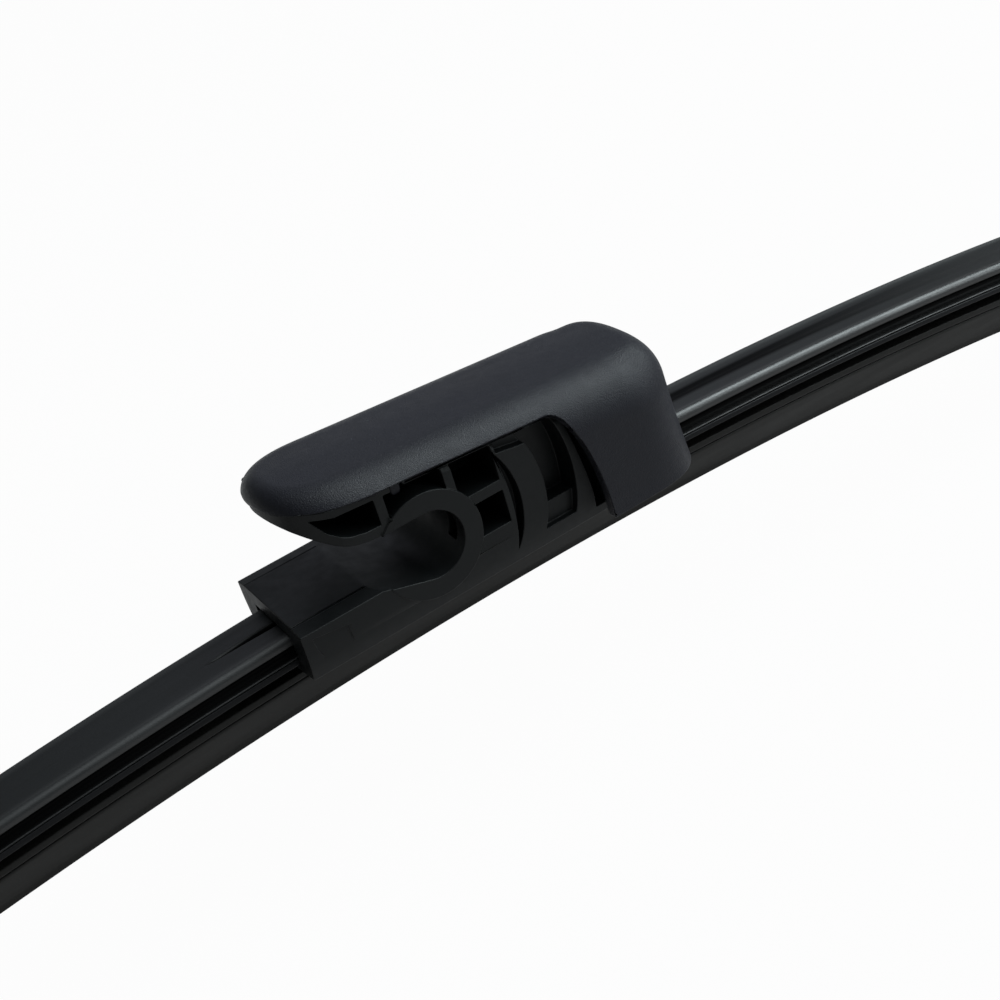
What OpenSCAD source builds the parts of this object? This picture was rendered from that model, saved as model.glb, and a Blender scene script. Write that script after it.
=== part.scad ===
// Rear flat-beam wiper blade with a moulded C-hook adapter under an inclined cover cap.
// Millimetres. The origin is the centre of the arm's cross pin, on the blade's middle plane.
// +X runs along the blade, +Y across it, +Z away from the glass.

/* [Blade] */
// Length of the rubber along the blade
blade_len = 330; // [280:5:400]
// Radius that the unloaded blade is bent to
bend_r = 730; // [600:10:1200]
// Distance from the pin to the middle of the blade
apex_x = 8.5; // [6:0.5:12]
// Height of the pin above the top of the cover
pin_height = 3.85; // [3.8:0.05:4.2]

/* [Cover profile] */
// Width over the two beads of the cover
cover_w = 9.3; // [9:0.1:9.6]
// Height of the cover from its beads to the steel rails
cover_h = 3.45; // [3.4:0.05:3.5]
// Radius of the bead along each top edge
bead_r = 0.45; // [0.3:0.05:0.5]
// Depth of the dish in the top face
dish = 0.3; // [0.2:0.05:0.4]
// Radius of the hollow in each flank
flank_r = 1.3; // [1.1:0.05:1.35]

/* [Steel rails] */
// Width over the outer edges of the two rails
rail_span = 9.2; // [9:0.1:9.3]
// Width of one rail
rail_w = 3.25; // [3:0.05:3.25]
// Thickness of a rail
rail_t = 0.8; // [0.7:0.05:0.8]
// How far the rails stop short of each end of the rubber
rail_short = 2; // [1:0.5:4]

/* [Wiping rubber] */
// Height from the top of the cover to the wiping edge
section_h = 13.4; // [12.5:0.1:14]
// Thickness of the wiping edge
edge_t = 0.7; // [0.5:0.05:0.9]
// Width of the shoulders above the lip
shoulder_w = 5.8; // [5.4:0.1:6]

/* [Hook] */
// Radius of the bore that snaps on the arm's pin
pin_r = 4.5; // [4.4:0.05:4.6]
// Wall of the ring around the bore
ring_wall = 2.7; // [2.4:0.1:2.8]
// How far each ring face stands proud of the cheek
ring_step = 0.2; // [0.1:0.05:0.3]
// Slope of the ramp under the mouth, in degrees
ramp_angle = 17; // [15:1:18]
// How far the hook's tip stands in front of the pin
tip_reach = 5.2; // [5:0.1:5.5]

/* [Adapter body] */
// Room between the cap's skirts and the cheeks, on each side
cheek_room = 2.2; // [2.1:0.05:2.3]
// Left end of the seat, from the pin
seat_x0 = -19.3; // [-20:0.1:-18]
// Top of the seat, from the pin
seat_z = -1.9; // [-2:0.05:-1.8]
// Lower edge of the side walls, from the pin
side_z = -8.9; // [-9.2:0.1:-8.8]
// Right end of the body, from the pin
body_x1 = 34.2; // [33.6:0.1:34.4]
// Half the thickness of the middle web between the pockets
web = 2.2; // [1.5:0.1:3]
// Depth of the right pocket in the cheek
right_depth = 3.7; // [3:0.1:5]

/* [Cap] */
// Width over the skirts
cap_w = 23; // [22.6:0.1:23.4]
// Height of the cap's top above the pin
cap_top = 12.2; // [12:0.1:12.6]
// Slope of the cap, nose high, in degrees
cap_tilt = 4.5; // [3.5:0.1:5.5]
// Radius that rolls the top into the sides
cap_roll = 5.5; // [5:0.1:6]
// Wall thickness
cap_t = 1.8; // [1.6:0.05:1.85]
// Centre of the round nose, from the pin
nose_x = -6.9; // [-7.4:0.1:-6.2]
// Right end, from the pin
cap_x1 = 39.3; // [39:0.1:40]
// Height of the near and far rims below the top
rim_drop = 2.15; // [2:0.05:2.3]
// Radius of the skirts' front edges
skirt_r = 38; // [34:1:42]
// Foot of the skirts' front edges, from the pin
skirt_x0 = 24.1; // [23:0.1:25]

/* [End caps] */
// Length of each end cap over the cover
end_len = 13; // [10:1:18]
// Wall of the end caps
end_t = 0.9; // [0.8:0.05:1.2]

/* [Hidden] */
$fn = 96;
gap = 0.05;
// A length that reaches past every face of the adapter
beyond = 3 * cap_w;
body_w = cap_w - 2 * cheek_room;
ring_w = body_w + 2 * ring_step;
black_rubber = [0.08, 0.075, 0.07];
black_plastic = [0.12, 0.12, 0.13];
cap_plastic = [0.17, 0.17, 0.19];
steel = [0.55, 0.56, 0.58];

apex_z = -pin_height;
rail_top = -cover_h - gap;
rail_bottom = rail_top - rail_t;
rail_y0 = rail_span / 2 - rail_w;
head_y = 2.5;
head_top = -1.95;
head_bottom = -2.75;
neck_y = rail_y0 - gap;
flange_y = 2.6;
flange_bottom = rail_bottom - 1;
web_y = 0.7;
shoulder_top = flange_bottom - 1.2;
shoulder_bottom = shoulder_top - 0.95;
lip_y = shoulder_w / 2 - 0.5;
lip_top = shoulder_bottom - 0.8;
ring_r = pin_r + ring_wall;
half = body_w / 2;
side_r = 16;
side_arc_z = -3.9;
belly_z = side_z - 0.9;
claw_y = 3.1;
tray_y = cover_w / 2 + 0.4;
tray_room = 0.3;
left_seam = -9;
right_seam = 24.2;
ramp_x = to_micron(-pin_r * sin(ramp_angle));
ramp_z = to_micron(-pin_r * cos(ramp_angle));
crest_x = to_micron(ramp_x - (seat_z - ramp_z) / tan(ramp_angle));
slope = tan(cap_tilt);
end_roll = 4.6;
bow_r = 20;
end_corner = 5;
rib = 1.3;
crease_y = half - 2.5;
band_drop = 0.45;
skirt_z = -8.3;
nose_tip = nose_x - cap_w / 2;
end_from = cap_x1 - 2 * end_roll - 0.8;

function to_micron(v) = round(v * 1000) / 1000;
function cap_z(x) = cap_top - slope * x;
function pocket_top(x) = cap_z(x) - rim_drop - 1.1;
function both_sides(h) = concat(h, [for (i = [len(h) - 1:-1:0]) [h[i][0], -h[i][1]]]);

// Sweeps a section along the blade's arc; its x is the height above the cover, its y runs across.
module along_arc(s0, s1) {
    turn = 180 / PI / bend_r;
    translate([apex_x, 0, apex_z - bend_r])
        rotate([90, 0, 0])
            rotate([0, 0, 90 - s1 * turn])
                rotate_extrude(angle = (s1 - s0) * turn, $fn = 180)
                    translate([bend_r, 0]) children();
}

// Extrudes an outline drawn in X and Z across the part, between two places in Y.
module across(y0, y1) {
    translate([0, y1, 0]) rotate([90, 0, 0]) linear_extrude(y1 - y0) children();
}

// The same cut made from both sides, from the middle web outward.
module from_sides(y0) {
    across(y0, half + 3) children();
    across(-half - 3, -y0) children();
}

// Head, neck, shoulders and lip of the wiping rubber.
module rubber_section() {
    polygon(both_sides([
        [head_top, head_y], [head_bottom, head_y], [head_bottom, neck_y], [rail_bottom - gap, neck_y],
        [rail_bottom - gap, flange_y], [flange_bottom, flange_y], [flange_bottom, web_y],
        [shoulder_top, web_y], [shoulder_top, shoulder_w / 2], [shoulder_bottom, shoulder_w / 2],
        [shoulder_bottom - 0.1, lip_y - 0.25], [shoulder_bottom - 0.35, lip_y - 0.25],
        [shoulder_bottom - 0.5, lip_y], [lip_top, lip_y], [-section_h + 0.8, edge_t / 2],
        [-section_h, edge_t / 2]]));
}

module rail_section() {
    translate([rail_bottom, rail_y0]) square([rail_t, rail_w]);
}

// Beaded, dished and waisted cover with the channel that grips the rubber's head.
module cover_section() {
    y1 = cover_w / 2;
    difference() {
        union() {
            translate([-cover_h, -y1 + 0.2]) square([cover_h - bead_r, 2 * y1 - 0.4]);
            translate([-1.2, -y1 + bead_r]) square([1.2, 2 * (y1 - bead_r)]);
            for (s = [-1, 1]) translate([-bead_r, s * (y1 - bead_r)]) circle(bead_r);
        }
        polygon([[1, 4 - y1], [0, bead_r + 0.1 - y1], [-0.8 * dish, -2], [-dish, -0.8], [-dish, 0.8], [-0.8 * dish, 2],
                 [0, y1 - bead_r - 0.1], [1, y1 - 4]]);
        for (s = [-1, 1]) translate([-bead_r - 0.2 - flank_r, s * (y1 + 0.1)]) circle(flank_r);
        translate([head_bottom - 0.1, -head_y - 0.1]) square([head_top - head_bottom + 0.2, 2 * head_y + 0.2]);
        translate([-cover_h - 1, -neck_y - 0.1]) square([cover_h + 1 + head_top, 2 * neck_y + 0.2]);
    }
}

// Channel through the body for rails and rubber, and the wider tray for a cover's end.
module rail_channel() {
    along_arc(-beyond, beyond) {
        translate([rail_bottom - gap, -rail_span / 2 - gap]) square([rail_t + 2 * gap, rail_span + 2 * gap]);
        translate([rail_bottom - 4, -claw_y]) square([5, 2 * claw_y]);
        translate([rail_top - 1, -head_y - 0.15]) square([head_top + 0.1 - rail_top + 1, 2 * head_y + 0.3]);
    }
}

module tray(x0, x1) {
    along_arc(x0 - apex_x, x1 - apex_x)
        translate([rail_bottom - gap, -tray_y]) square([tray_room - rail_bottom + gap, 2 * tray_y]);
}

// Full height of the cap, moved in by a given amount; the nose is a turned form.
module cap_solid(inset) {
    w = cap_w / 2 - inset;
    r = cap_roll - inset;
    top = to_micron(cap_top * cos(cap_tilt)) - inset;
    intersection() {
        rotate([0, cap_tilt, 0]) union() {
            translate([nose_x, 0, 0]) rotate([90, 0, 90]) linear_extrude(beyond) cap_section(w, r, top);
            translate([nose_x, 0, 0]) rotate_extrude()
                intersection() {
                    cap_section(w, r, top);
                    translate([0, -beyond]) square([beyond, 2 * beyond]);
                }
        }
        across(-w, w) cap_profile(inset);
        cap_end(inset);
        translate([0, 0, -beyond]) linear_extrude(2 * beyond) cap_plan(inset);
    }
}

module cap_section(w, r, top) {
    translate([-w + r, -beyond]) square([2 * (w - r), beyond + top]);
    translate([-w, -beyond]) square([2 * w, beyond + top - r]);
    for (s = [-1, 1]) translate([s * (w - r), top - r]) circle(r);
}

// Side view of the cap, round at the skirts' feet.
module cap_profile(inset) {
    x1 = cap_x1 - inset;
    foot = 2.5;
    translate([-beyond, side_z]) square([beyond + x1 - foot, beyond]);
    translate([-beyond, side_z + foot]) square([beyond + x1, beyond]);
    translate([x1 - foot, side_z + foot]) circle(foot);
}

// Turned form that bows the right end and rolls it over into the top.
module cap_end(inset) {
    roll_r = bow_r - end_roll;
    roll_z = to_micron(cap_z(cap_x1 - end_roll) - end_roll / cos(cap_tilt));
    translate([cap_x1 - bow_r, 0, 0]) rotate_extrude($fn = 180)
        intersection() {
            union() {
                translate([0, -beyond]) square([roll_r, 2 * beyond]);
                translate([0, -beyond]) square([bow_r - inset, beyond + roll_z]);
                translate([roll_r, roll_z]) circle(end_roll - inset);
            }
            translate([0, -beyond]) square([bow_r, 2 * beyond]);
        }
    translate([-beyond, -cap_w, -beyond]) cube([beyond + end_from, 2 * cap_w, 2 * beyond]);
}

module cap_plan(inset) {
    x1 = cap_x1 - inset;
    w = cap_w / 2 - inset;
    r = end_corner - inset;
    translate([-beyond, -w]) square([beyond + x1 - r, 2 * w]);
    translate([-beyond, -w + r]) square([beyond + x1, 2 * (w - r)]);
    for (s = [-1, 1]) translate([x1 - r, s * (w - r)]) circle(r);
}

// Everything below the plane of the cap's rims.
module below_rim(room) {
    polygon([[-beyond, -beyond], [beyond, -beyond], [beyond, cap_z(beyond) - rim_drop - room],
             [-beyond, cap_z(-beyond) - rim_drop - room]]);
}

// Side openings of the cap, under its rims and in front of its skirts.
module window() {
    intersection() {
        below_rim(0);
        union() {
            translate([skirt_x0 - skirt_r, skirt_z]) circle(skirt_r, $fn = 180);
            translate([-beyond, -beyond]) square([beyond + skirt_x0 - 1, beyond + skirt_z + 0.3]);
        }
    }
}

// Cross-section of the lower body: upright cheeks that curve in towards the claws.
module body_section() {
    translate([-half, side_arc_z]) square([2 * half, seat_z - side_arc_z]);
    intersection() {
        polygon([[-half, side_arc_z], [half, side_arc_z], [half, side_z], [tray_y, belly_z],
                 [-tray_y, belly_z], [-half, side_z]]);
        translate([half - side_r, side_arc_z]) circle(side_r);
        translate([side_r - half, side_arc_z]) circle(side_r);
    }
}

// Side view of the hook, the arm above the mouth, the nose and the cheeks.
module hook_profile() {
    difference() {
        union() {
            circle(ring_r);
            polygon([[nose_tip, cap_top + 4], [nose_tip, 12], [nose_tip + 2.6, 9.6], [-14.6, 8.6], [-13.3, 7.6],
                     [-11.2, 6.1], [-9.1, 5.1], [-7.2, 4.65], [-tip_reach, pin_r], [0, pin_r], [0, cap_top + 4]]);
            translate([0, seat_z - 2]) square([body_x1, cap_top + 4]);
        }
        circle(pin_r);
        mouth();
    }
}

// Open mouth of the hook, over the seat and the ramp.
module mouth() {
    polygon([[0, pin_r], [-beyond, pin_r], [-beyond, seat_z], [crest_x, seat_z], [ramp_x, ramp_z], [0, -pin_r]]);
}

// Deep pockets that lighten the cheeks, left of and around the ring.
module pockets() {
    polygon([[-12.9, pocket_top(-12.9)], [-11.5, 7.9], [-10.4, 7.1], [-9.3, 6.5], [-7.2, 6], [-5.2, 5.9],
             [-5.2, pocket_top(-5.2)]]);
    difference() {
        union() {
            polygon([[-5.2 + rib, 5], [4, 5], [4, pocket_top(4)], [-5.2 + rib, pocket_top(-5.2 + rib)]]);
            polygon([[4 + rib, 3.4], [11, 3.4], [11, pocket_top(11)], [4 + rib, pocket_top(4 + rib)]]);
            translate([6, -2.7]) square([5, 4.6]);
        }
        circle(ring_r);
    }
}

// Pocket right of the curved rib.
module right_pocket() {
    difference() {
        intersection() {
            circle(21.2);
            polygon([[11, -3.7], [30, -3.7], [30, pocket_top(30)], [11, pocket_top(11)]]);
        }
        circle(16.8);
    }
}

// Gap in the cheek along the front edge of the skirt, closing towards the top.
module skirt_gap() {
    intersection() {
        difference() {
            translate([skirt_x0 - skirt_r, skirt_z]) circle(skirt_r + 0.6, $fn = 180);
            translate([skirt_x0 - 0.86 - 1.5 * skirt_r, skirt_z]) circle(1.5 * skirt_r, $fn = 180);
        }
        translate([skirt_x0 - 6, side_z + 1.3]) square([8, 15.5]);
    }
}

// Crescent slot that the arm's fork sweeps in, centred on the pin.
module crescent() {
    difference() {
        intersection() {
            circle(13.15);
            translate([11, -8]) square([4, 16]);
        }
        translate([-18, 0]) circle(29.9, $fn = 180);
    }
}

// Shallow recesses: above the curved rib, and around the foot of the right pocket.
module recesses() {
    intersection() {
        difference() {
            circle(21.2);
            circle(13.15);
        }
        polygon([[11.5, 6.9], [15, 6.3], [30, 6.3], [30, pocket_top(30)], [11.5, pocket_top(11.5)]]);
    }
    intersection() {
        difference() {
            circle(21.2);
            circle(16.8);
        }
        translate([11, -6.6]) square([15, 12]);
    }
}

module body_plan() {
    translate([nose_x, 0]) circle(half + 0.2);
    translate([nose_x, -half]) square([body_x1 - nose_x, 2 * half]);
}

// Plan of the nose below the cap's rim, where it is flush with the rim.
module nose_plan() {
    intersection() {
        translate([nose_x + 0.8, 0]) circle(cap_w / 2 - 1.3);
        translate([nose_tip, -half]) square([-nose_tip, 2 * half]);
    }
}

// Snap legs of the cap, and the notches in the body's top that they pass through.
module snap_legs() {
    for (s = [-1, 1]) translate([-2.5, s * (half - 1.5) - 0.6, 7.9]) cube([1.3, 1.2, 3]);
}

module snap_notches() {
    for (s = [-1, 1]) translate([-2.8, s * (half + 0.7) - 3.2, 7.6]) cube([1.9, 6.4, 6]);
}

module adapter_body() {
    color(black_plastic) difference() {
        union() {
            translate([seat_x0, 0, 0]) rotate([90, 0, 90]) linear_extrude(body_x1 - seat_x0) body_section();
            intersection() {
                across(-half, half) hook_profile();
                translate([0, 0, -10]) linear_extrude(40) body_plan();
                cap_solid(cap_t + gap);
            }
            intersection() {
                across(-half, half) intersection() {
                    hook_profile();
                    below_rim(gap);
                }
                translate([0, 0, -beyond]) linear_extrude(2 * beyond) nose_plan();
            }
            across(-ring_w / 2, ring_w / 2) difference() {
                circle(ring_r);
                polygon([[0, pin_r], [-beyond, pin_r], [-beyond, -beyond], [crest_x, seat_z], [ramp_x, ramp_z],
                         [0, -pin_r]]);
            }
        }
        across(-cap_w, cap_w) circle(pin_r);
        across(-cap_w, cap_w) mouth();
        // Bands along the seat's two edges, with a crease where they start
        translate([seat_x0 - 1, 0, 0]) rotate([90, 0, 90])
            linear_extrude(crest_x - seat_x0 + 1 + band_drop / tan(ramp_angle))
                for (s = [-1, 1])
                    polygon([[s * crease_y, seat_z + 0.1], [s * crease_y, seat_z - 0.25],
                             [s * (crease_y + 0.25), seat_z - 0.08], [s * (half + 0.1), seat_z - band_drop],
                             [s * (half + 0.1), seat_z + 0.1]]);
        from_sides(web) pockets();
        from_sides(half - right_depth) right_pocket();
        from_sides(half - 3) skirt_gap();
        from_sides(half - 1.8) crescent();
        from_sides(half - 1.2) recesses();
        // Grooves in the bore behind each ring face
        for (s = [-1, 1]) translate([0, s * (ring_w / 2 - 3) + 1, 0]) rotate([90, 0, 0]) linear_extrude(2)
            intersection() {
                circle(pin_r + 1.5);
                polygon([[0, 0], [9, -5], [9, 9], [1.6, 9]]);
            }
        rail_channel();
        tray(seat_x0 - 1, left_seam);
        tray(right_seam, body_x1 + 1);
        snap_notches();
        // Recessed panel near the left end of each cheek
        from_sides(half - 0.25)
            translate([seat_x0, 0])
                polygon([[1.4, -3.3], [6, -3.9], [6.3, -7.5], [3.7, -7.6], [2.4, -6.9], [1.6, -5.2]]);
    }
}

module adapter_cap() {
    color(cap_plastic) difference() {
        union() {
            difference() {
                cap_solid(0);
                cap_solid(cap_t);
            }
            intersection() {
                snap_legs();
                cap_solid(0.5);
            }
        }
        difference() {
            across(-20, 20) window();
            snap_legs();
        }
        // Way out for the blade through the right end wall
        translate([cap_x1 - 8, -tray_y - 0.2, side_z - 2]) cube([10, 2 * tray_y + 0.4, 2 - side_z - pin_height]);
    }
}

module wiper_rubber() {
    color(black_rubber) along_arc(-blade_len / 2, blade_len / 2) rubber_section();
}

module rail(side) {
    s = blade_len / 2 - rail_short;
    color(steel) along_arc(-s, s) mirror([0, side > 0 ? 1 : 0]) rail_section();
}

module cover_left() {
    color(black_rubber) along_arc(-blade_len / 2 + 1, left_seam - 0.15 - apex_x) cover_section();
}

module cover_right() {
    color(black_rubber) along_arc(right_seam + 0.15 - apex_x, blade_len / 2 - 1) cover_section();
}

// Cap over the end of cover, rails and rubber head; the lip passes out below it.
module end_cap() {
    s1 = blade_len / 2;
    s0 = s1 - end_len;
    y1 = cover_w / 2 + gap;
    out_y = y1 + end_t;
    corner = 1.6;
    color(black_plastic) difference() {
        intersection() {
            along_arc(s0, s1 + end_t + 0.6) {
                translate([flange_bottom - 0.3, -out_y]) square([end_t - flange_bottom + 0.3 - corner, 2 * out_y]);
                translate([-3, -out_y + corner]) square([3 + end_t, 2 * (out_y - corner)]);
                for (s = [-1, 1]) translate([end_t - corner, s * (out_y - corner)]) circle(corner);
            }
            translate([apex_x, 0, -beyond]) linear_extrude(2 * beyond) {
                x1 = bend_r * sin(s1 * 180 / PI / bend_r) + end_t + 0.6;
                translate([0, -out_y]) square([x1 - 3, 2 * out_y]);
                translate([0, -out_y + 3]) square([x1, 2 * out_y - 6]);
                for (s = [-1, 1]) translate([x1 - 3, s * (out_y - 3)]) circle(3);
            }
        }
        along_arc(s0 - 1, s1 + gap) {
            translate([rail_bottom - gap, -y1]) square([gap - rail_bottom + gap, 2 * y1]);
            translate([-15, -flange_y - gap]) square([12, 2 * flange_y + 2 * gap]);
        }
        // The lip runs out to the end, below the wall
        along_arc(s0 - 1, s1 + 4) translate([-15, -shoulder_w]) square([15 + flange_bottom - 0.3, 2 * shoulder_w]);
    }
}

module end_cap_right() {
    end_cap();
}

module end_cap_left() {
    translate([2 * apex_x, 0, 0]) mirror([1, 0, 0]) end_cap();
}

wiper_rubber();
rail(1);  // rail_near
rail(-1);  // rail_far
cover_left();
cover_right();
adapter_body();
adapter_cap();
end_cap_left();
end_cap_right();
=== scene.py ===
import math
import bmesh
import bpy
import numpy as np
from mathutils import Matrix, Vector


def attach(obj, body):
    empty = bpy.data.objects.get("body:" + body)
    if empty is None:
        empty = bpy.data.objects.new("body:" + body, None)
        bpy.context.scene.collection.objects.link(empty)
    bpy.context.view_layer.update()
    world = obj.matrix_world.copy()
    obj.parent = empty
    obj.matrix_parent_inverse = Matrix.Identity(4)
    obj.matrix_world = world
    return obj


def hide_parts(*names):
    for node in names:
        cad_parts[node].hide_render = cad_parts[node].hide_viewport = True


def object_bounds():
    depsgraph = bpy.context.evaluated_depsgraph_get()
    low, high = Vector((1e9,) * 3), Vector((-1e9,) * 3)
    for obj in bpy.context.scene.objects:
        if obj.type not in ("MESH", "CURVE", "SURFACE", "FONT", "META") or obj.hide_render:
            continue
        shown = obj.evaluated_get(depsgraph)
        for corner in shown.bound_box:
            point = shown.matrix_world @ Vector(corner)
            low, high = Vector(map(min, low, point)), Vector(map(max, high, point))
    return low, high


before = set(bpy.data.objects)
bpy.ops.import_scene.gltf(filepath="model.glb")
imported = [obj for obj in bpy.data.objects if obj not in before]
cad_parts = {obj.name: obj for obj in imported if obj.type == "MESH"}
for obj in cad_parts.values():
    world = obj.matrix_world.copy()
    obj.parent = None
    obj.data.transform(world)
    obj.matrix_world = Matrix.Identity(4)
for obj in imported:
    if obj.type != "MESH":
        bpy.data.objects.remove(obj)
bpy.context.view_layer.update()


# Wiping rubber
# One extruded strip of black natural rubber, cut to length: a head held in the cover's channel, side
# grooves that carry the two rails, a thin web it tilts on, shoulders, and the lip that wipes the glass.

# Sizes are in millimetres. The cover's top follows a circle of radius BEND_R, highest at the apex.
MM = 0.001
BEND_R = 730.0
APEX_X = 8.5
APEX_Z = -3.85
HALF_BLADE = 165.0
SECTION_HEIGHT = 13.4
RUBBER_STATIONS = 241
STRIP_CREASE = 32
MERGE_DISTANCE = 2e-7
CORNER_STEPS = 5
CORNER_SHARE = 0.45
NOISE_LOW = 0.3
NOISE_HIGH = 0.7
NOISE_ROUGHNESS = 0.55
SHEEN_ROUGHNESS = 0.45
DUST_CELLS = 520.0
DUST_TONE = (0.22, 0.23, 0.25, 1)


def set_down(name, mesh, crease):
    """An object for the mesh, at the origin, shaded smooth where two faces meet at less than the crease."""
    mesh.polygons.foreach_set("use_smooth", np.ones(len(mesh.polygons), bool))
    mesh.set_sharp_from_angle(angle=math.radians(crease))
    piece = bpy.data.objects.new(name, mesh)
    bpy.context.scene.collection.objects.link(piece)
    return piece


def add_piece(name, points, faces, crease):
    """Puts points (millimetres, one row each) and faces into one mesh object at the origin, with points
    that fall together merged and all faces turned outwards."""
    mesh = bpy.data.meshes.new(name)
    mesh.from_pydata((points * MM).tolist(), [], faces)
    shell = bmesh.new()
    shell.from_mesh(mesh)
    bmesh.ops.remove_doubles(shell, verts=shell.verts, dist=MERGE_DISTANCE)
    bmesh.ops.recalc_face_normals(shell, faces=shell.faces)
    shell.to_mesh(mesh)
    shell.free()
    return set_down(name, mesh, crease)


def tube_faces(rows, columns):
    """Quads of a grid of points whose last column joins the first. Point (i, j) has the number
    i * columns + j, and each quad takes (i, j), (i, j + 1), (i + 1, j + 1) and (i + 1, j)."""
    i = np.arange(rows - 1)[:, None]
    j = np.arange(columns)[None, :]
    right = (j + 1) % columns
    corners = [i * columns + j, i * columns + right, (i + 1) * columns + right, (i + 1) * columns + j]
    return np.stack(np.broadcast_arrays(*corners), -1).reshape(-1, 4).tolist()


def softened(corners, radii):
    """Rounds each corner of a closed outline with a parabola: (1 - t) squared times its start, plus
    2 t (1 - t) times the corner, plus t squared times its end, both a radius away along the sides."""
    corner = np.asarray(corners, float)
    before = np.roll(corner, 1, 0) - corner
    after = np.roll(corner, -1, 0) - corner
    long_before = np.linalg.norm(before, axis=1, keepdims=True)
    long_after = np.linalg.norm(after, axis=1, keepdims=True)
    reach = np.broadcast_to(np.asarray(radii, float).reshape(-1, 1), long_before.shape)
    start = corner + before / long_before * np.minimum(reach, CORNER_SHARE * long_before)
    end = corner + after / long_after * np.minimum(reach, CORNER_SHARE * long_after)
    t = np.linspace(0, 1, CORNER_STEPS)[None, :, None]
    arc = (1 - t) ** 2 * start[:, None] + 2 * t * (1 - t) * corner[:, None] + t ** 2 * end[:, None]
    return arc.reshape(-1, 2)


def both_sides(half):
    """A closed outline from its right half, listed from top to bottom as (height, place across), with the
    points on the middle line taken once."""
    half = np.asarray(half, float)
    return np.vstack([half, (half[half[:, 1] > 0] * (1, -1))[::-1]])


def along_blade(outline, s, lift):
    """Carries an outline along the blade's bend: the point of height n at arc length s lies at
    x = apex + (R + n) sin(s / R) and z = top - R + (R + n) cos(s / R), and its y stays."""
    n = outline[None, :, 0] + lift + np.zeros((len(s), 1))
    y = np.broadcast_to(outline[None, :, 1], n.shape)
    turn = s[:, None] / BEND_R
    x = APEX_X + (BEND_R + n) * np.sin(turn)
    z = APEX_Z - BEND_R + (BEND_R + n) * np.cos(turn)
    return np.stack([x, y, z], -1).reshape(-1, 3)


def extrusion(name, outline, s, lift=0.0):
    """A solid strip: the outline, raised by the lift, swept through the arc lengths s, with flat ends."""
    count = len(outline)
    faces = tube_faces(len(s), count)
    faces.append(list(range(count)))
    faces.append(list(range((len(s) - 1) * count, len(s) * count)))
    return add_piece(name, along_blade(outline, s, lift), faces, STRIP_CREASE)


def new_finish(name):
    """A material, its node tree and its main shader."""
    finish = bpy.data.materials.new(name)
    finish.use_nodes = True
    return finish, finish.node_tree, finish.node_tree.nodes["Principled BSDF"]


def feed(tree, entry, value):
    """Gives a node's input its value: another node's output is linked in, a number or colour is set."""
    if isinstance(value, bpy.types.NodeSocket):
        tree.links.new(value, entry)
    else:
        entry.default_value = value


def add_node(tree, kind, *values, **settings):
    """A new node. The settings are its properties, or else its inputs by name, and the values go into its
    first inputs in turn."""
    made = tree.nodes.new(kind)
    for key, value in settings.items():
        if hasattr(made, key):
            setattr(made, key, value)
        else:
            feed(tree, made.inputs[key], value)
    for entry, value in zip(made.inputs, values):
        feed(tree, entry, value)
    return made


def math_of(tree, operation, *values):
    """The result of one step of arithmetic on outputs and numbers."""
    return add_node(tree, "ShaderNodeMath", *values, operation=operation).outputs[0]


def ranged(tree, source, start, end, low, high, easing="LINEAR"):
    """Carries a value from the range start to end over to the range low to high, and never beyond it."""
    made = add_node(tree, "ShaderNodeMapRange", source, start, end, low, high, interpolation_type=easing)
    return made.outputs["Result"]


def noise(tree, place, scale, detail):
    """Noise with so many swells per metre at the given coordinates."""
    made = add_node(
        tree, "ShaderNodeTexNoise", Vector=place, Scale=scale, Detail=detail, Roughness=NOISE_ROUGHNESS)
    return made.outputs["Fac"]


def from_noise(tree, source, low, high):
    """Spreads the middle of a noise's range, where nearly all its values lie, from low to high."""
    return ranged(tree, source, NOISE_LOW, NOISE_HIGH, low, high)


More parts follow.
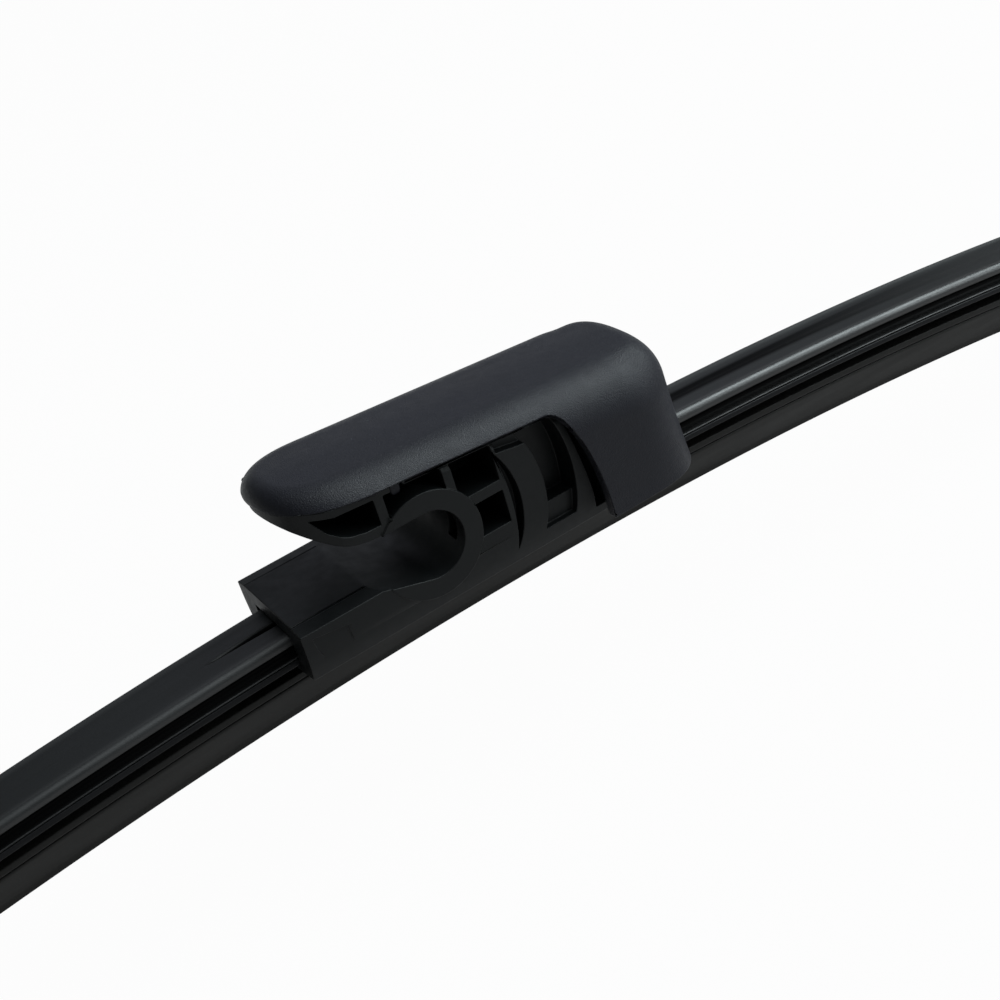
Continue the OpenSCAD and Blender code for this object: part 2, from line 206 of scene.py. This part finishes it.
def polymer(name, deep, worn, rough, grain, depth, gloss, cloud, specks, stretch=(1, 1, 1), sheen=0.0):
    """A dark moulded or extruded surface. Slow noise, cloud per metre, mixes the tones deep and worn and
    moves the roughness a little. Fine noise, grain per metre, raises the surface by depth (metres). One
    small cell in every 1 / specks carries a grain of pale dust."""
    finish, tree, shader = new_finish(name)
    shader.inputs["Specular IOR Level"].default_value = gloss
    shader.inputs["Sheen Weight"].default_value = sheen
    shader.inputs["Sheen Roughness"].default_value = SHEEN_ROUGHNESS
    place = add_node(tree, "ShaderNodeTexCoord").outputs["Object"]
    stretched = add_node(tree, "ShaderNodeMapping", Vector=place, Scale=stretch).outputs[0]
    slow = noise(tree, stretched, cloud, 4)
    fine = noise(tree, place, grain, 3)
    middle = noise(tree, stretched, grain * 0.12, 4)
    blend = math_of(tree, "ADD", from_noise(tree, slow, 0, 0.7), from_noise(tree, fine, -0.2, 0.3))
    tone = add_node(tree, "ShaderNodeMix", data_type="RGBA", Factor=blend, A=(*deep, 1), B=(*worn, 1))
    cells = add_node(tree, "ShaderNodeTexVoronoi", Vector=place, Scale=DUST_CELLS, Randomness=1.0)
    dot = ranged(tree, cells.outputs["Distance"], 0.03, 0.07, 1, 0)
    pick = add_node(tree, "ShaderNodeSeparateColor", cells.outputs["Color"])
    chosen = math_of(tree, "GREATER_THAN", pick.outputs[0], 1 - specks)
    dusty = add_node(
        tree, "ShaderNodeMix", data_type="RGBA", Factor=math_of(tree, "MULTIPLY", dot, chosen),
        A=tone.outputs["Result"], B=DUST_TONE)
    tree.links.new(dusty.outputs["Result"], shader.inputs["Base Color"])
    slow_rough = from_noise(tree, slow, rough - 0.04, rough + 0.05)
    shine = math_of(tree, "ADD", from_noise(tree, middle, -0.05, 0.05), slow_rough)
    tree.links.new(shine, shader.inputs["Roughness"])
    swell = add_node(tree, "ShaderNodeBump", Strength=0.5, Distance=depth * 0.6, Height=middle)
    bump = add_node(
        tree, "ShaderNodeBump", Strength=1.0, Distance=depth, Height=fine, Normal=swell.outputs["Normal"])
    tree.links.new(bump.outputs["Normal"], shader.inputs["Normal"])
    return finish


def hand_over(piece, finish, slot, *nodes):
    """Gives a finished piece its material, hangs it on the root body and hides the CAD parts it takes the
    place of.
    """
    piece.data.materials.clear()
    piece.data.materials.append(finish)
    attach(piece, "root")
    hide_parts(*nodes)


# The right half of the section as (height over the cover's top, place across), and each corner's radius
rubber_half = [
    (-1.95, 2.5), (-2.75, 2.5), (-2.75, 1.3), (-4.35, 1.3), (-4.35, 2.6), (-5.3, 2.6),
    (-5.3, 0.7), (-6.5, 0.7), (-6.5, 2.9), (-7.45, 2.9), (-7.55, 2.2), (-7.85, 2.2), (-7.95, 2.4),
    (-8.25, 2.4), (-9.4, 1.9), (-12.6, 0.36), (-SECTION_HEIGHT, 0.35),
]
rubber_radii = [
    0.15, 0.1, 0.08, 0.08, 0.2, 0.2,
    0.15, 0.15, 0.2, 0.22, 0.06, 0.06, 0.12,
    0.3, 0.6, 0.3, 0.05,
]
rubber_outline = softened(both_sides(rubber_half), rubber_radii + rubber_radii[::-1])
graphite_rubber = polymer(
    "graphite rubber", (0.0055, 0.0053, 0.0048), (0.0125, 0.012, 0.0108), 0.52, 3600.0, 1.4e-5, 0.22,
    cloud=90.0, stretch=(0.12, 1, 1), specks=0.02)
rubber_stations = np.linspace(-HALF_BLADE, HALF_BLADE, RUBBER_STATIONS)
wiping_rubber = extrusion("wiping_strip", rubber_outline, rubber_stations)
hand_over(wiping_rubber, graphite_rubber, "wiping_rubber", "wiper_rubber")


# Steel rails
# Two flat strips of spring steel, rolled to the blade's bend, with a thin black coat. Each lies in one
# side groove of the rubber, and its outer edge shows as a fine line under the cover.

RAIL_TOP = -3.5
RAIL_BOTTOM = -4.3
RAIL_INNER_Y = 1.35
RAIL_OUTER_Y = 4.6
RAIL_CORNER_R = 0.22
RAIL_SHORT = 2.0
RAIL_STATIONS = 221


def rail_steel():
    """Coated spring steel: dark, a little metallic, with fine scratches that run along the strip."""
    finish, tree, shader = new_finish("coated spring steel")
    shader.inputs["Metallic"].default_value = 0.25
    shader.inputs["Specular IOR Level"].default_value = 0.1
    place = add_node(tree, "ShaderNodeTexCoord").outputs["Object"]
    drawn_out = add_node(tree, "ShaderNodeMapping", Vector=place, Scale=(0.02, 1, 1)).outputs[0]
    lines = add_node(tree, "ShaderNodeTexNoise", Vector=drawn_out, Scale=9000, Detail=4).outputs["Fac"]
    ramp = add_node(tree, "ShaderNodeValToRGB", lines)
    ramp.color_ramp.elements[0].color = (0.003, 0.003, 0.0034, 1)
    ramp.color_ramp.elements[1].color = (0.017, 0.017, 0.018, 1)
    tree.links.new(ramp.outputs["Color"], shader.inputs["Base Color"])
    tree.links.new(ranged(tree, lines, 0, 1, 0.3, 0.5), shader.inputs["Roughness"])
    bump = add_node(tree, "ShaderNodeBump", Distance=4e-6, Height=lines)
    tree.links.new(bump.outputs["Normal"], shader.inputs["Normal"])
    return finish


coated_steel = rail_steel()
rail_stations = np.linspace(-HALF_BLADE + RAIL_SHORT, HALF_BLADE - RAIL_SHORT, RAIL_STATIONS)
for side, node_name, rail_name in ((-1, "rail_near", "near_steel"), (1, "rail_far", "far_steel")):
    inner_y = side * RAIL_INNER_Y
    outer_y = side * RAIL_OUTER_Y
    rail_corners = [(RAIL_TOP, inner_y), (RAIL_TOP, outer_y), (RAIL_BOTTOM, outer_y), (RAIL_BOTTOM, inner_y)]
    rail = extrusion(rail_name, softened(rail_corners, [RAIL_CORNER_R] * 4), rail_stations)
    hand_over(rail, coated_steel, "rail_steel", node_name)


# Covers
# Two lengths of one soft black extrusion, laid end to end inside the adapter. The top is a little dished
# between rounded edges, the flanks are waisted, and a channel below grips the rubber's head.

COVER_EDGE_Y = 3.75
COVER_EDGE_R = 0.9
COVER_DISH = 0.2
DISH_POWER = 5
COVER_SEAMS = (-17.65, 15.85)
COVER_ENDS = 1.0
COVER_STATIONS = 240
SLIT_S = -27.0
SLIT_REACH = 10.5
SLIT_DEPTH = 0.85
SAG_S = 22.0
SAG_REACH = 105.0
SAG_DEPTH = 0.34
SAG_Y = 0.4
SAG_WIDTH = 0.3
WAIST_FADE = (1.9, 0.7)
FOOT_FADE = (3.22, 3.1)


def cover_outline():
    """Right half from the middle of the top: the dish, a power of y up to the edge; the edge's arc; the
    waist, a cubic curve; the foot's lip; and the channel. Then the same mirrored."""
    y = np.concatenate([np.linspace(0, 1.5, 16), np.linspace(1.7, COVER_EDGE_Y - 0.1, 10)])
    dish = np.stack([-COVER_DISH * (1 - (y / COVER_EDGE_Y) ** DISH_POWER), y], 1)
    turn = np.radians(np.linspace(90, -25, 16))
    edge_n = -COVER_EDGE_R + COVER_EDGE_R * np.sin(turn)
    edge_y = COVER_EDGE_Y + COVER_EDGE_R * np.cos(turn)
    edge = np.stack([edge_n, edge_y], 1)
    t = np.linspace(0, 1, 16)[1:, None]
    knots = np.array([edge[-1], (-1.75, 3.55), (-2.5, 3.1), (-3.05, 4.3)])
    shares = [(1 - t) ** 3, 3 * t * (1 - t) ** 2, 3 * t ** 2 * (1 - t), t ** 3]
    waist = sum(share * knot for share, knot in zip(shares, knots))
    foot = np.array([(-3.15, 4.42), (-3.25, 4.48), (-3.36, 4.45), (-3.45, 4.36)])
    channel = np.array([(-3.45, 1.42), (-2.85, 1.42), (-2.85, 2.6), (-1.85, 2.6), (-1.85, 0.0)])
    return both_sides(np.vstack([dish, edge, waist, foot, channel]))


def slit_depth(outline, s):
    """The crease drawn in at the adapter's left: a narrow bell across the top, exp(-(y / width) squared),
    whose depth and width grow from nothing at its tip to their most at the adapter."""
    share = np.clip(1 - np.abs(s - SLIT_S) / SLIT_REACH, 0, 1)[:, None]
    y = outline[None, :, 1]
    top = outline[None, :, 0] > -0.6
    return -SLIT_DEPTH * share ** 0.8 * np.exp(-(y / (0.14 + 0.25 * share)) ** 2) * top


def sagged_half(outline, s):
    """The squeezed top at the adapter's right: the near half stands up and the far half sags by the same
    amount, along 0.5 - 1 / (1 + exp(-(y - middle) / width)), and it fades out along the blade."""
    share = np.clip(1 - (s - SAG_S) / SAG_REACH, 0, 1)[:, None]
    y = outline[None, :, 1]
    top = np.clip((outline[None, :, 0] + 2.3) / 1.4, 0, 1)
    return SAG_DEPTH * share * (0.5 - 1 / (1 + np.exp(-(y - SAG_Y) / SAG_WIDTH))) * top


def paint_shade_in_hollows(finish):
    """Paints shade into the waist, by the height over the bend (the distance to the bend's centre less its
    radius), and into the top's crease, by y against a width that changes along x: there the tone goes to
    near black and the gloss to almost nothing. The top's edges, which the extruder's die polishes, get twice
    the gloss. Lengths here are in metres."""
    tree = finish.node_tree
    shader = tree.nodes["Principled BSDF"]
    place = add_node(tree, "ShaderNodeTexCoord").outputs["Object"]
    axes = add_node(tree, "ShaderNodeSeparateXYZ", place).outputs

    def eased(source, start, end, low, high):
        return ranged(tree, source, start, end, low, high, "SMOOTHSTEP")

    centre = (APEX_X * MM, 0, (APEX_Z - BEND_R) * MM)
    from_centre = add_node(tree, "ShaderNodeVectorMath", place, centre, operation="SUBTRACT")
    in_plane = add_node(
        tree, "ShaderNodeVectorMath", from_centre.outputs[0], (1, 0, 1), operation="MULTIPLY")
    radius = add_node(tree, "ShaderNodeVectorMath", in_plane.outputs[0], operation="LENGTH").outputs["Value"]
    above = eased(radius, (BEND_R - WAIST_FADE[0]) * MM, (BEND_R - WAIST_FADE[1]) * MM, 0, 1)
    below = eased(radius, (BEND_R - FOOT_FADE[0]) * MM, (BEND_R - FOOT_FADE[1]) * MM, 1, 0)
    waist = math_of(tree, "MAXIMUM", above, below)

    left_width = eased(axes["X"], -0.0295, -0.019, 0.000006, 0.0009)
    right_width = eased(axes["X"], 0.03, 0.035, 0, 0.0013)
    crease_y = eased(axes["X"], -0.01, 0.03, 0, 0.0006)
    off_crease = math_of(tree, "ABSOLUTE", math_of(tree, "SUBTRACT", axes["Y"], crease_y))
    share = math_of(tree, "DIVIDE", off_crease, math_of(tree, "ADD", left_width, right_width))
    faded = eased(axes["X"], 0.05, 0.12, 0.05, 1)
    crease = math_of(tree, "MAXIMUM", eased(share, 0.3, 1, 0, 1), faded)
    lit = math_of(tree, "MULTIPLY", waist, crease)

    polished = eased(math_of(tree, "ABSOLUTE", axes["Y"]), 0.0027, 0.0037, 1, 2.1)
    # Painted shade: the waist and the crease lose almost all their gloss.
    plain_gloss = eased(lit, 0, 1, 0.02, shader.inputs["Specular IOR Level"].default_value)
    tree.links.new(math_of(tree, "MULTIPLY", plain_gloss, polished), shader.inputs["Specular IOR Level"])
    lit_tone = shader.inputs["Base Color"].links[0].from_socket
    # Painted shade: the waist and the crease take a near-black tone in place of the cover's own.
    tone = add_node(
        tree, "ShaderNodeMix", data_type="RGBA", Factor=lit, A=(0.0008, 0.0008, 0.0009, 1), B=lit_tone)
    tree.links.new(tone.outputs["Result"], shader.inputs["Base Color"])


soft_cover = polymer(
    "soft extruded cover", (0.0035, 0.0037, 0.0041), (0.0075, 0.0079, 0.0086), 0.42, 4200.0, 1.2e-5, 0.3,
    cloud=45.0, stretch=(0.18, 1, 1), specks=0.03)
# Painted shade in the cover's waist and top crease.
paint_shade_in_hollows(soft_cover)
cover_shape = cover_outline()
for node_name, cover_name, first, last, pressed in (
        ("cover_left", "left_cover", -HALF_BLADE + COVER_ENDS, COVER_SEAMS[0], slit_depth),
        ("cover_right", "right_cover", COVER_SEAMS[1], HALF_BLADE - COVER_ENDS, sagged_half)):
    cover_stations = np.linspace(first, last, COVER_STATIONS)
    cover = extrusion(cover_name, cover_shape, cover_stations, pressed(cover_shape, cover_stations))
    hand_over(cover, soft_cover, "cover_rubber", node_name)


# Adapter body
# One injection moulding in black polymer: a seat clamped over the rails, cheeks with cored-out pockets,
# and the open hook that snaps on the arm's cross pin. Every outer edge has the mould's small radius.

BODY_EDGE_R = 0.14
SPLIT_DISTANCE = 2e-5
FLAT_ANGLE = 0.4
MOULD_CREASE = 28
SHADE_CREASE = 36


def round_edges(piece, name, radius, crease):
    """Rounds the edges that are sharper than the crease by a bevel of the given radius."""
    bevel = piece.modifiers.new(name, "BEVEL")
    bevel.width = radius * MM
    bevel.segments = 2
    bevel.limit_method = "ANGLE"
    bevel.angle_limit = math.radians(crease)
    bevel.use_clamp_overlap = False
    bevel.harden_normals = True
    return bevel


def rounded_copy(node_name, name, radius):
    """A copy of the node's mesh with its split corners merged, its flat triangles joined and its sharp
    edges rounded."""
    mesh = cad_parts[node_name].data.copy()
    mesh.name = name
    shell = bmesh.new()
    shell.from_mesh(mesh)
    bmesh.ops.remove_doubles(shell, verts=shell.verts, dist=SPLIT_DISTANCE)
    bmesh.ops.dissolve_limit(
        shell, angle_limit=math.radians(FLAT_ANGLE), verts=shell.verts, edges=shell.edges)
    shell.to_mesh(mesh)
    shell.free()
    if mesh.has_custom_normals:
        mesh.attributes.remove(mesh.attributes["custom_normal"])
    piece = set_down(name, mesh, SHADE_CREASE)
    round_edges(piece, "mould radius", radius, MOULD_CREASE).miter_outer = "MITER_ARC"
    return piece


body_polymer = polymer(
    "satin body polymer", (0.0014, 0.0019, 0.0021), (0.0032, 0.004, 0.0043), 0.46, 5200.0, 0.8e-5, 0.23,
    cloud=55.0, specks=0.03)
adapter_body = rounded_copy("adapter_body", "clamp_body", BODY_EDGE_R)
hand_over(adapter_body, body_polymer, "body_plastic", "adapter_body")


# Cover cap
# A thin-walled polymer cap with a fine spark-eroded texture. Its lid runs over the hook to a round nose
# with a gate stub, rolls over at every edge, and drops into a skirt on each side. It clips on the body.

CAP_TOP = 12.3
CAP_SLOPE = math.tan(math.radians(4.5))
CAP_CROWN = 0.35
CAP_CROWN_Y = 5.0
CAP_HALF = 11.5
CAP_NOSE_X = -4.0
CAP_NOSE = 12.7
CAP_TAIL_X = 30.2
CAP_TAIL = 8.7
CAP_RIM_DROP = 2.25
CAP_RIM_R = 0.1
CAP_FOOT_Z = -8.85
CAP_FOOT_R = 2.5
CAP_WALL = 1.5
SIDE_ROLL = 6.4
NOSE_ROLL = 2.8
CORNER_ROLL = 7.3
TAIL_ROLL = 3.5
SKIRT_R = 38.0
SKIRT_CENTRE = (-13.9, -8.3)
SKIRT_TOP_Z = 8.6
FILLET_X = 1.6
FILLET_Z = 7.0
NOSE_POWER = 2.2
TAIL_POWER = 2.9
TAIL_FLARE = 2.2
FLARE_POWER = 1.5
FLARE_DEPTH = 20.0
BLADE_WAY_Y = 5.3
BLADE_WAY_Z = -3.4
WAY_STEP = 0.3
LEG_PLACE = (-1.85, 7.8, 9.3)
LEG_HALF = 0.75
LEG_RISE = 1.3
NUB_PLACE = (-14.72, 4.95, 12.15)
NUB_HALF = (0.4, 0.35, 0.3)
BLOCK_CREASE = 60


def lid_z(x, y):
    """Height of the lid's sloping top at a place in plan, with its slight crown: a bell across y."""
    return CAP_TOP - CAP_SLOPE * x + CAP_CROWN * np.exp(-(y / CAP_CROWN_Y) ** 2)


def cap_columns():
    """Near half of the cap's plan from nose to tail: widest place (x, y), the spine place it is drawn in
    to, the roll's radius and the lower edge's height. Nose and tail are superellipses in plan, |x / a| and
    |y / b| to one power adding up to 1. The skirt's front edge is an arc that a parabola joins to the rim,
    and the roll is widest at the tail's corner."""
    phi = np.radians(np.linspace(0, 90, 45))
    draw_in = np.abs(np.cos(phi)) ** (2 / NOSE_POWER)
    nose = np.stack([CAP_NOSE_X - CAP_NOSE * draw_in, -CAP_HALF * np.sin(phi) ** (2 / NOSE_POWER)], 1)
    nose_roll = SIDE_ROLL + (NOSE_ROLL - SIDE_ROLL) * np.cos(phi) ** 2
    nose_low = lid_z(nose[:, 0], CAP_HALF) - CAP_RIM_DROP

    rim_end = SKIRT_CENTRE[0] + math.sqrt(SKIRT_R ** 2 - (SKIRT_TOP_Z - SKIRT_CENTRE[1]) ** 2)
    side_x = np.linspace(CAP_NOSE_X, rim_end - FILLET_X, 30)[1:]
    side_low = lid_z(side_x, CAP_HALF) - CAP_RIM_DROP
    arc_z = np.linspace(FILLET_Z, SKIRT_CENTRE[1], 40)
    arc_x = SKIRT_CENTRE[0] + np.sqrt(SKIRT_R ** 2 - (arc_z - SKIRT_CENTRE[1]) ** 2)
    start = np.array([rim_end - FILLET_X, lid_z(rim_end - FILLET_X, CAP_HALF) - CAP_RIM_DROP])
    corner = np.array([rim_end + 0.1, lid_z(rim_end, CAP_HALF) - CAP_RIM_DROP])
    end = np.array([arc_x[0], arc_z[0]])
    t = np.linspace(0, 1, 10)[1:]
    fillet = (1 - t[:, None]) ** 2 * start + 2 * (t * (1 - t))[:, None] * corner + (t ** 2)[:, None] * end
    foot_x = np.linspace(arc_x[-1] + 0.02, CAP_TAIL_X, 14)
    straight_x = np.concatenate([side_x, fillet[:, 0], arc_x[1:], foot_x])
    straight = np.stack([straight_x, np.full(len(straight_x), -CAP_HALF)], 1)
    straight_low = np.concatenate([side_low, fillet[:, 1], arc_z[1:], np.full(len(foot_x), CAP_FOOT_Z)])
    straight_roll = np.full(len(straight_x), SIDE_ROLL)

    psi = np.linspace(0, 1, 30)[1:] * math.acos((BLADE_WAY_Y + WAY_STEP) / CAP_HALF)
    way = np.linspace(BLADE_WAY_Y - WAY_STEP, 0, 9)
    across = np.concatenate([CAP_HALF * np.cos(psi), [BLADE_WAY_Y], way])
    tail_x = CAP_TAIL_X + CAP_TAIL * (1 - (across / CAP_HALF) ** TAIL_POWER) ** (1 / TAIL_POWER)
    tail = np.stack([tail_x, -across], 1)
    beyond = np.clip((tail_x - (CAP_TAIL_X + CAP_TAIL - CAP_FOOT_R)) / CAP_FOOT_R, 0, 1)
    foot = CAP_FOOT_Z + CAP_FOOT_R * (1 - np.sqrt(1 - beyond ** 2))
    tail_low = np.where(across > BLADE_WAY_Y + 0.05, foot, BLADE_WAY_Z)
    share = np.clip((tail_x - CAP_TAIL_X) / CAP_TAIL, 0, 1)
    bulge = (CORNER_ROLL - SIDE_ROLL) * np.sin(math.pi * share) ** 2
    tail_roll = SIDE_ROLL + (TAIL_ROLL - SIDE_ROLL) * share ** 2 + bulge

    outer = np.vstack([nose, straight, tail])
    spine_x = np.clip(outer[:, 0], CAP_NOSE_X, CAP_TAIL_X)
    roll = np.concatenate([nose_roll, straight_roll, tail_roll])
    low = np.concatenate([nose_low, straight_low, tail_low])
    return outer, spine_x, roll, low


def cap_shell():
    """Each column runs from the spine over the flat, round the roll and down the wall: on the roll it is
    inset by r (1 - sin a) and dropped by r (1 - cos a), with a from 0 to the column's last angle. The
    tail leans out towards its foot by flare times share times the depth's share to the flare's power."""
    outer, spine_x, roll, low = cap_columns()
    spine = np.stack([spine_x, np.zeros(len(spine_x))], 1)
    inward = spine - outer
    reach = np.linalg.norm(inward, axis=1)
    inward = inward / reach[:, None]
    edge_top = lid_z(outer[:, 0], CAP_HALF)
    last = np.arccos(np.clip(1 - (edge_top - low) / roll, 0, 1))
    flat = np.linspace(0, 1, 13)[:-1]
    turn = np.linspace(0, 1, 26)
    fall = np.linspace(0, 1, 26)[1:]
    inset_flat = reach[None, :] + flat[:, None] * (roll - reach)[None, :]
    inset_roll = roll[None, :] * (1 - np.sin(turn[:, None] * last[None, :]))
    inset_wall = np.repeat(inset_roll[-1:], len(fall), 0)
    inset = np.vstack([inset_flat, inset_roll, inset_wall])
    plan = outer[None] + inset[..., None] * inward[None]
    z = lid_z(plan[..., 0], plan[..., 1])
    steps = len(flat) + len(turn)
    z[len(flat):steps] -= roll[None, :] * (1 - np.cos(turn[:, None] * last[None, :]))
    wall_top = z[steps - 1]
    wall_low = np.minimum(low, wall_top)
    z[steps:] = wall_top + fall[:, None] * (wall_low - wall_top)[None, :]
    share = np.clip((outer[:, 0] - CAP_TAIL_X) / CAP_TAIL, 0, 1)
    plan[..., 0] += TAIL_FLARE * share * np.clip((edge_top - z) / FLARE_DEPTH, 0, 1) ** FLARE_POWER
    near = np.concatenate([plan, z[..., None]], -1)
    far = near[:, ::-1] * (1, -1, 1)
    whole = np.concatenate([near, far], 1)
    rows, columns = whole.shape[:2]
    return add_piece("cap_skin", whole.reshape(-1, 3), tube_faces(rows, columns), 40)


def give_wall(piece, wall):
    """Gives a one-sided skin its wall, inwards."""
    thick = piece.modifiers.new("wall", "SOLIDIFY")
    thick.thickness = wall * MM
    thick.offset = -1
    thick.use_even_offset = False


def snap_leg(side):
    """End of one snap leg of the cap, a block whose corners are drawn in: a superellipsoid of the fourth
    power, x = a c(u) c(v), y = a c(u) s(v), z = h s(u), where c and s are signed square roots."""
    u = np.linspace(-math.pi / 2, math.pi / 2, 17)[:, None]
    v = np.linspace(0, 2 * math.pi, 33)[None, :-1]
    cu = np.sqrt(np.abs(np.cos(u)))
    su = np.sign(np.sin(u)) * np.sqrt(np.abs(np.sin(u)))
    cv = np.sign(np.cos(v)) * np.sqrt(np.abs(np.cos(v)))
    sv = np.sign(np.sin(v)) * np.sqrt(np.abs(np.sin(v)))
    x = LEG_PLACE[0] + LEG_HALF * cu * cv
    y = side * LEG_PLACE[1] + LEG_HALF * cu * sv
    z = LEG_PLACE[2] + LEG_RISE * su + 0 * cv
    points = np.stack([x, y, z], -1).reshape(-1, 3)
    return add_piece("near_snap" if side < 0 else "far_snap", points, tube_faces(17, 32), BLOCK_CREASE)


def gate_nub():
    """The stub the mould's gate leaves on the nose: an ellipsoid, x = a cos(u) cos(v), y = b cos(u) sin(v),
    z = c sin(u)."""
    u = np.linspace(-math.pi / 2, math.pi / 2, 13)[:, None]
    v = np.linspace(0, 2 * math.pi, 25)[None, :-1]
    x = NUB_PLACE[0] + NUB_HALF[0] * np.cos(u) * np.cos(v)
    y = NUB_PLACE[1] + NUB_HALF[1] * np.cos(u) * np.sin(v)
    z = NUB_PLACE[2] + NUB_HALF[2] * np.sin(u) + 0 * v
    points = np.stack([x, y, z], -1).reshape(-1, 3)
    return add_piece("nose_nub", points, tube_faces(13, 24), BLOCK_CREASE)


spark_eroded = polymer(
    "spark-eroded cap polymer", (0.0042, 0.0043, 0.0072), (0.0088, 0.009, 0.0138), 0.4, 6200.0, 7e-5, 0.23,
    cloud=40.0, specks=0.05, sheen=0.02)
cover_cap = cap_shell()
give_wall(cover_cap, CAP_WALL)
round_edges(cover_cap, "rim radius", CAP_RIM_R, 50)
for moulding in (cover_cap, snap_leg(-1), snap_leg(1), gate_nub()):
    hand_over(moulding, spark_eroded, "cap_plastic", "adapter_cap")


# End caps
# A small moulded cap pushed over cover, rails and rubber head at each end of the blade, closed at the
# tip, with the lip passing out below it. The mould leaves a small radius on every edge.

END_EDGE_R = 0.3

end_polymer = polymer(
    "satin end polymer", (0.0035, 0.0038, 0.0042), (0.0075, 0.008, 0.0088), 0.44, 4600.0, 0.9e-5, 0.2,
    cloud=70.0, specks=0.03)
for node_name, end_name in (("end_cap_left", "left_end"), ("end_cap_right", "right_end")):
    end_cap = rounded_copy(node_name, end_name, END_EDGE_R)
    hand_over(end_cap, end_polymer, "end_plastic", node_name)


# Table and backdrop
# A wide matt white board under the blade and a white room round it. The camera sees both as plain white,
# with only the blade's soft shadow on the board, and the blade mirrors the board darker than it looks.

BOARD = 6.0
BOARD_GAP = 0.0005
BOARD_TONE = 0.3
MIRRORED_SHARE = 0.4
CLEAN_SHARE = 0.97
ROOM_LIGHT = 0.17

board_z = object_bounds()[0][2] - BOARD_GAP
board_corners = [(-BOARD, -BOARD), (BOARD, -BOARD), (BOARD, BOARD), (-BOARD, BOARD)]
board_mesh = bpy.data.meshes.new("white board")
board_mesh.from_pydata([(x, y, board_z) for x, y in board_corners], [], [(0, 1, 2, 3)])
board = bpy.data.objects.new("white_board", board_mesh)
bpy.context.scene.collection.objects.link(board)
board_finish = bpy.data.materials.new("white board")
board_finish.use_nodes = True
board_tree = board_finish.node_tree
board_tree.nodes.clear()
board_ray = add_node(board_tree, "ShaderNodeLightPath").outputs
mirrored = math_of(board_tree, "MULTIPLY", board_ray["Is Glossy Ray"], MIRRORED_SHARE)
looked_at = math_of(board_tree, "MAXIMUM", board_ray["Is Camera Ray"], mirrored)
seen = math_of(board_tree, "MAXIMUM", looked_at, board_ray["Is Transmission Ray"])
glow_share = math_of(board_tree, "MULTIPLY", seen, CLEAN_SHARE)
lit = add_node(board_tree, "ShaderNodeBsdfDiffuse", (BOARD_TONE, BOARD_TONE, BOARD_TONE, 1))
glow = add_node(board_tree, "ShaderNodeEmission", Strength=1.0)
board_mix = add_node(board_tree, "ShaderNodeMixShader", glow_share, lit.outputs[0], glow.outputs[0])
add_node(board_tree, "ShaderNodeOutputMaterial", Surface=board_mix.outputs[0])
board_mesh.materials.append(board_finish)

scene = bpy.context.scene
scene.view_settings.view_transform = "Standard"
room = bpy.data.worlds.new("white room")
room.use_nodes = True
room_tree = room.node_tree
room_tree.nodes.clear()
room_ray = add_node(room_tree, "ShaderNodeLightPath").outputs
room_light = add_node(room_tree, "ShaderNodeBackground", (0.9, 0.98, 1.0, 1), ROOM_LIGHT)
room_white = add_node(room_tree, "ShaderNodeBackground", Strength=1.0)
room_mix = add_node(
    room_tree, "ShaderNodeMixShader", room_ray["Is Camera Ray"],
    room_light.outputs[0], room_white.outputs[0])
add_node(room_tree, "ShaderNodeOutputWorld", Surface=room_mix.outputs[0])
scene.world = room


# Studio light and camera
# A large soft box overhead and two smaller, brighter ones at the right light the near side, a weak one
# behind lays the sheen on the lid, and the camera looks down on it all with the photograph's roll.


def soft_box(name, place, aim, size, power, colour):
    """A square area lamp at a place, turned so that it shines at the aim."""
    lamp = bpy.data.lights.new(name, "AREA")
    lamp.size = size
    lamp.energy = power
    lamp.color = colour
    box = bpy.data.objects.new(name, lamp)
    towards = np.array(aim, float) - np.array(place, float)
    z = -towards / np.linalg.norm(towards)
    x = np.cross((0.0, 1.0, 0.001), z)
    x = x / np.linalg.norm(x)
    turned = np.eye(4)
    turned[:3, :3] = np.stack([x, np.cross(z, x), z], 1)
    turned[:3, 3] = place
    box.matrix_world = Matrix(turned.tolist())
    scene.collection.objects.link(box)


soft_box("upper_box", (0.2, -0.22, 0.78), (0, 0, 0.005), 0.85, 3.0, (0.9, 0.97, 1.0))
soft_box("side_box", (0.58, -0.08, 0.6), (0.02, 0, 0.005), 0.46, 6.6, (0.88, 0.98, 1.0))
soft_box("front_box", (0.68, -0.54, 0.36), (0.02, 0, 0.005), 0.4, 2.8, (0.9, 0.98, 1.0))
soft_box("rear_box", (0.3, 0.66, 0.46), (0.02, 0, 0), 0.64, 0.42, (0.82, 0.84, 1.0))

CAMERA_PLACE = (-0.05684, -0.15803, 0.09683)
CAMERA_RIGHT = (0.81302, -0.52688, -0.24779)
CAMERA_UP = (0.46189, 0.32453, 0.82544)
CAMERA_BACK = (-0.35449, -0.78555, 0.50720)
eye = bpy.data.cameras.new("camera")
eye.lens = 55.8
eye.sensor_width = 36.0
eye.clip_start = 0.01
eye.clip_end = 30.0
camera = bpy.data.objects.new("camera", eye)
stand = np.eye(4)
stand[:3, :3] = np.stack([CAMERA_RIGHT, CAMERA_UP, CAMERA_BACK], 1)
stand[:3, 3] = CAMERA_PLACE
camera.matrix_world = Matrix(stand.tolist())
scene.collection.objects.link(camera)
scene.camera = camera
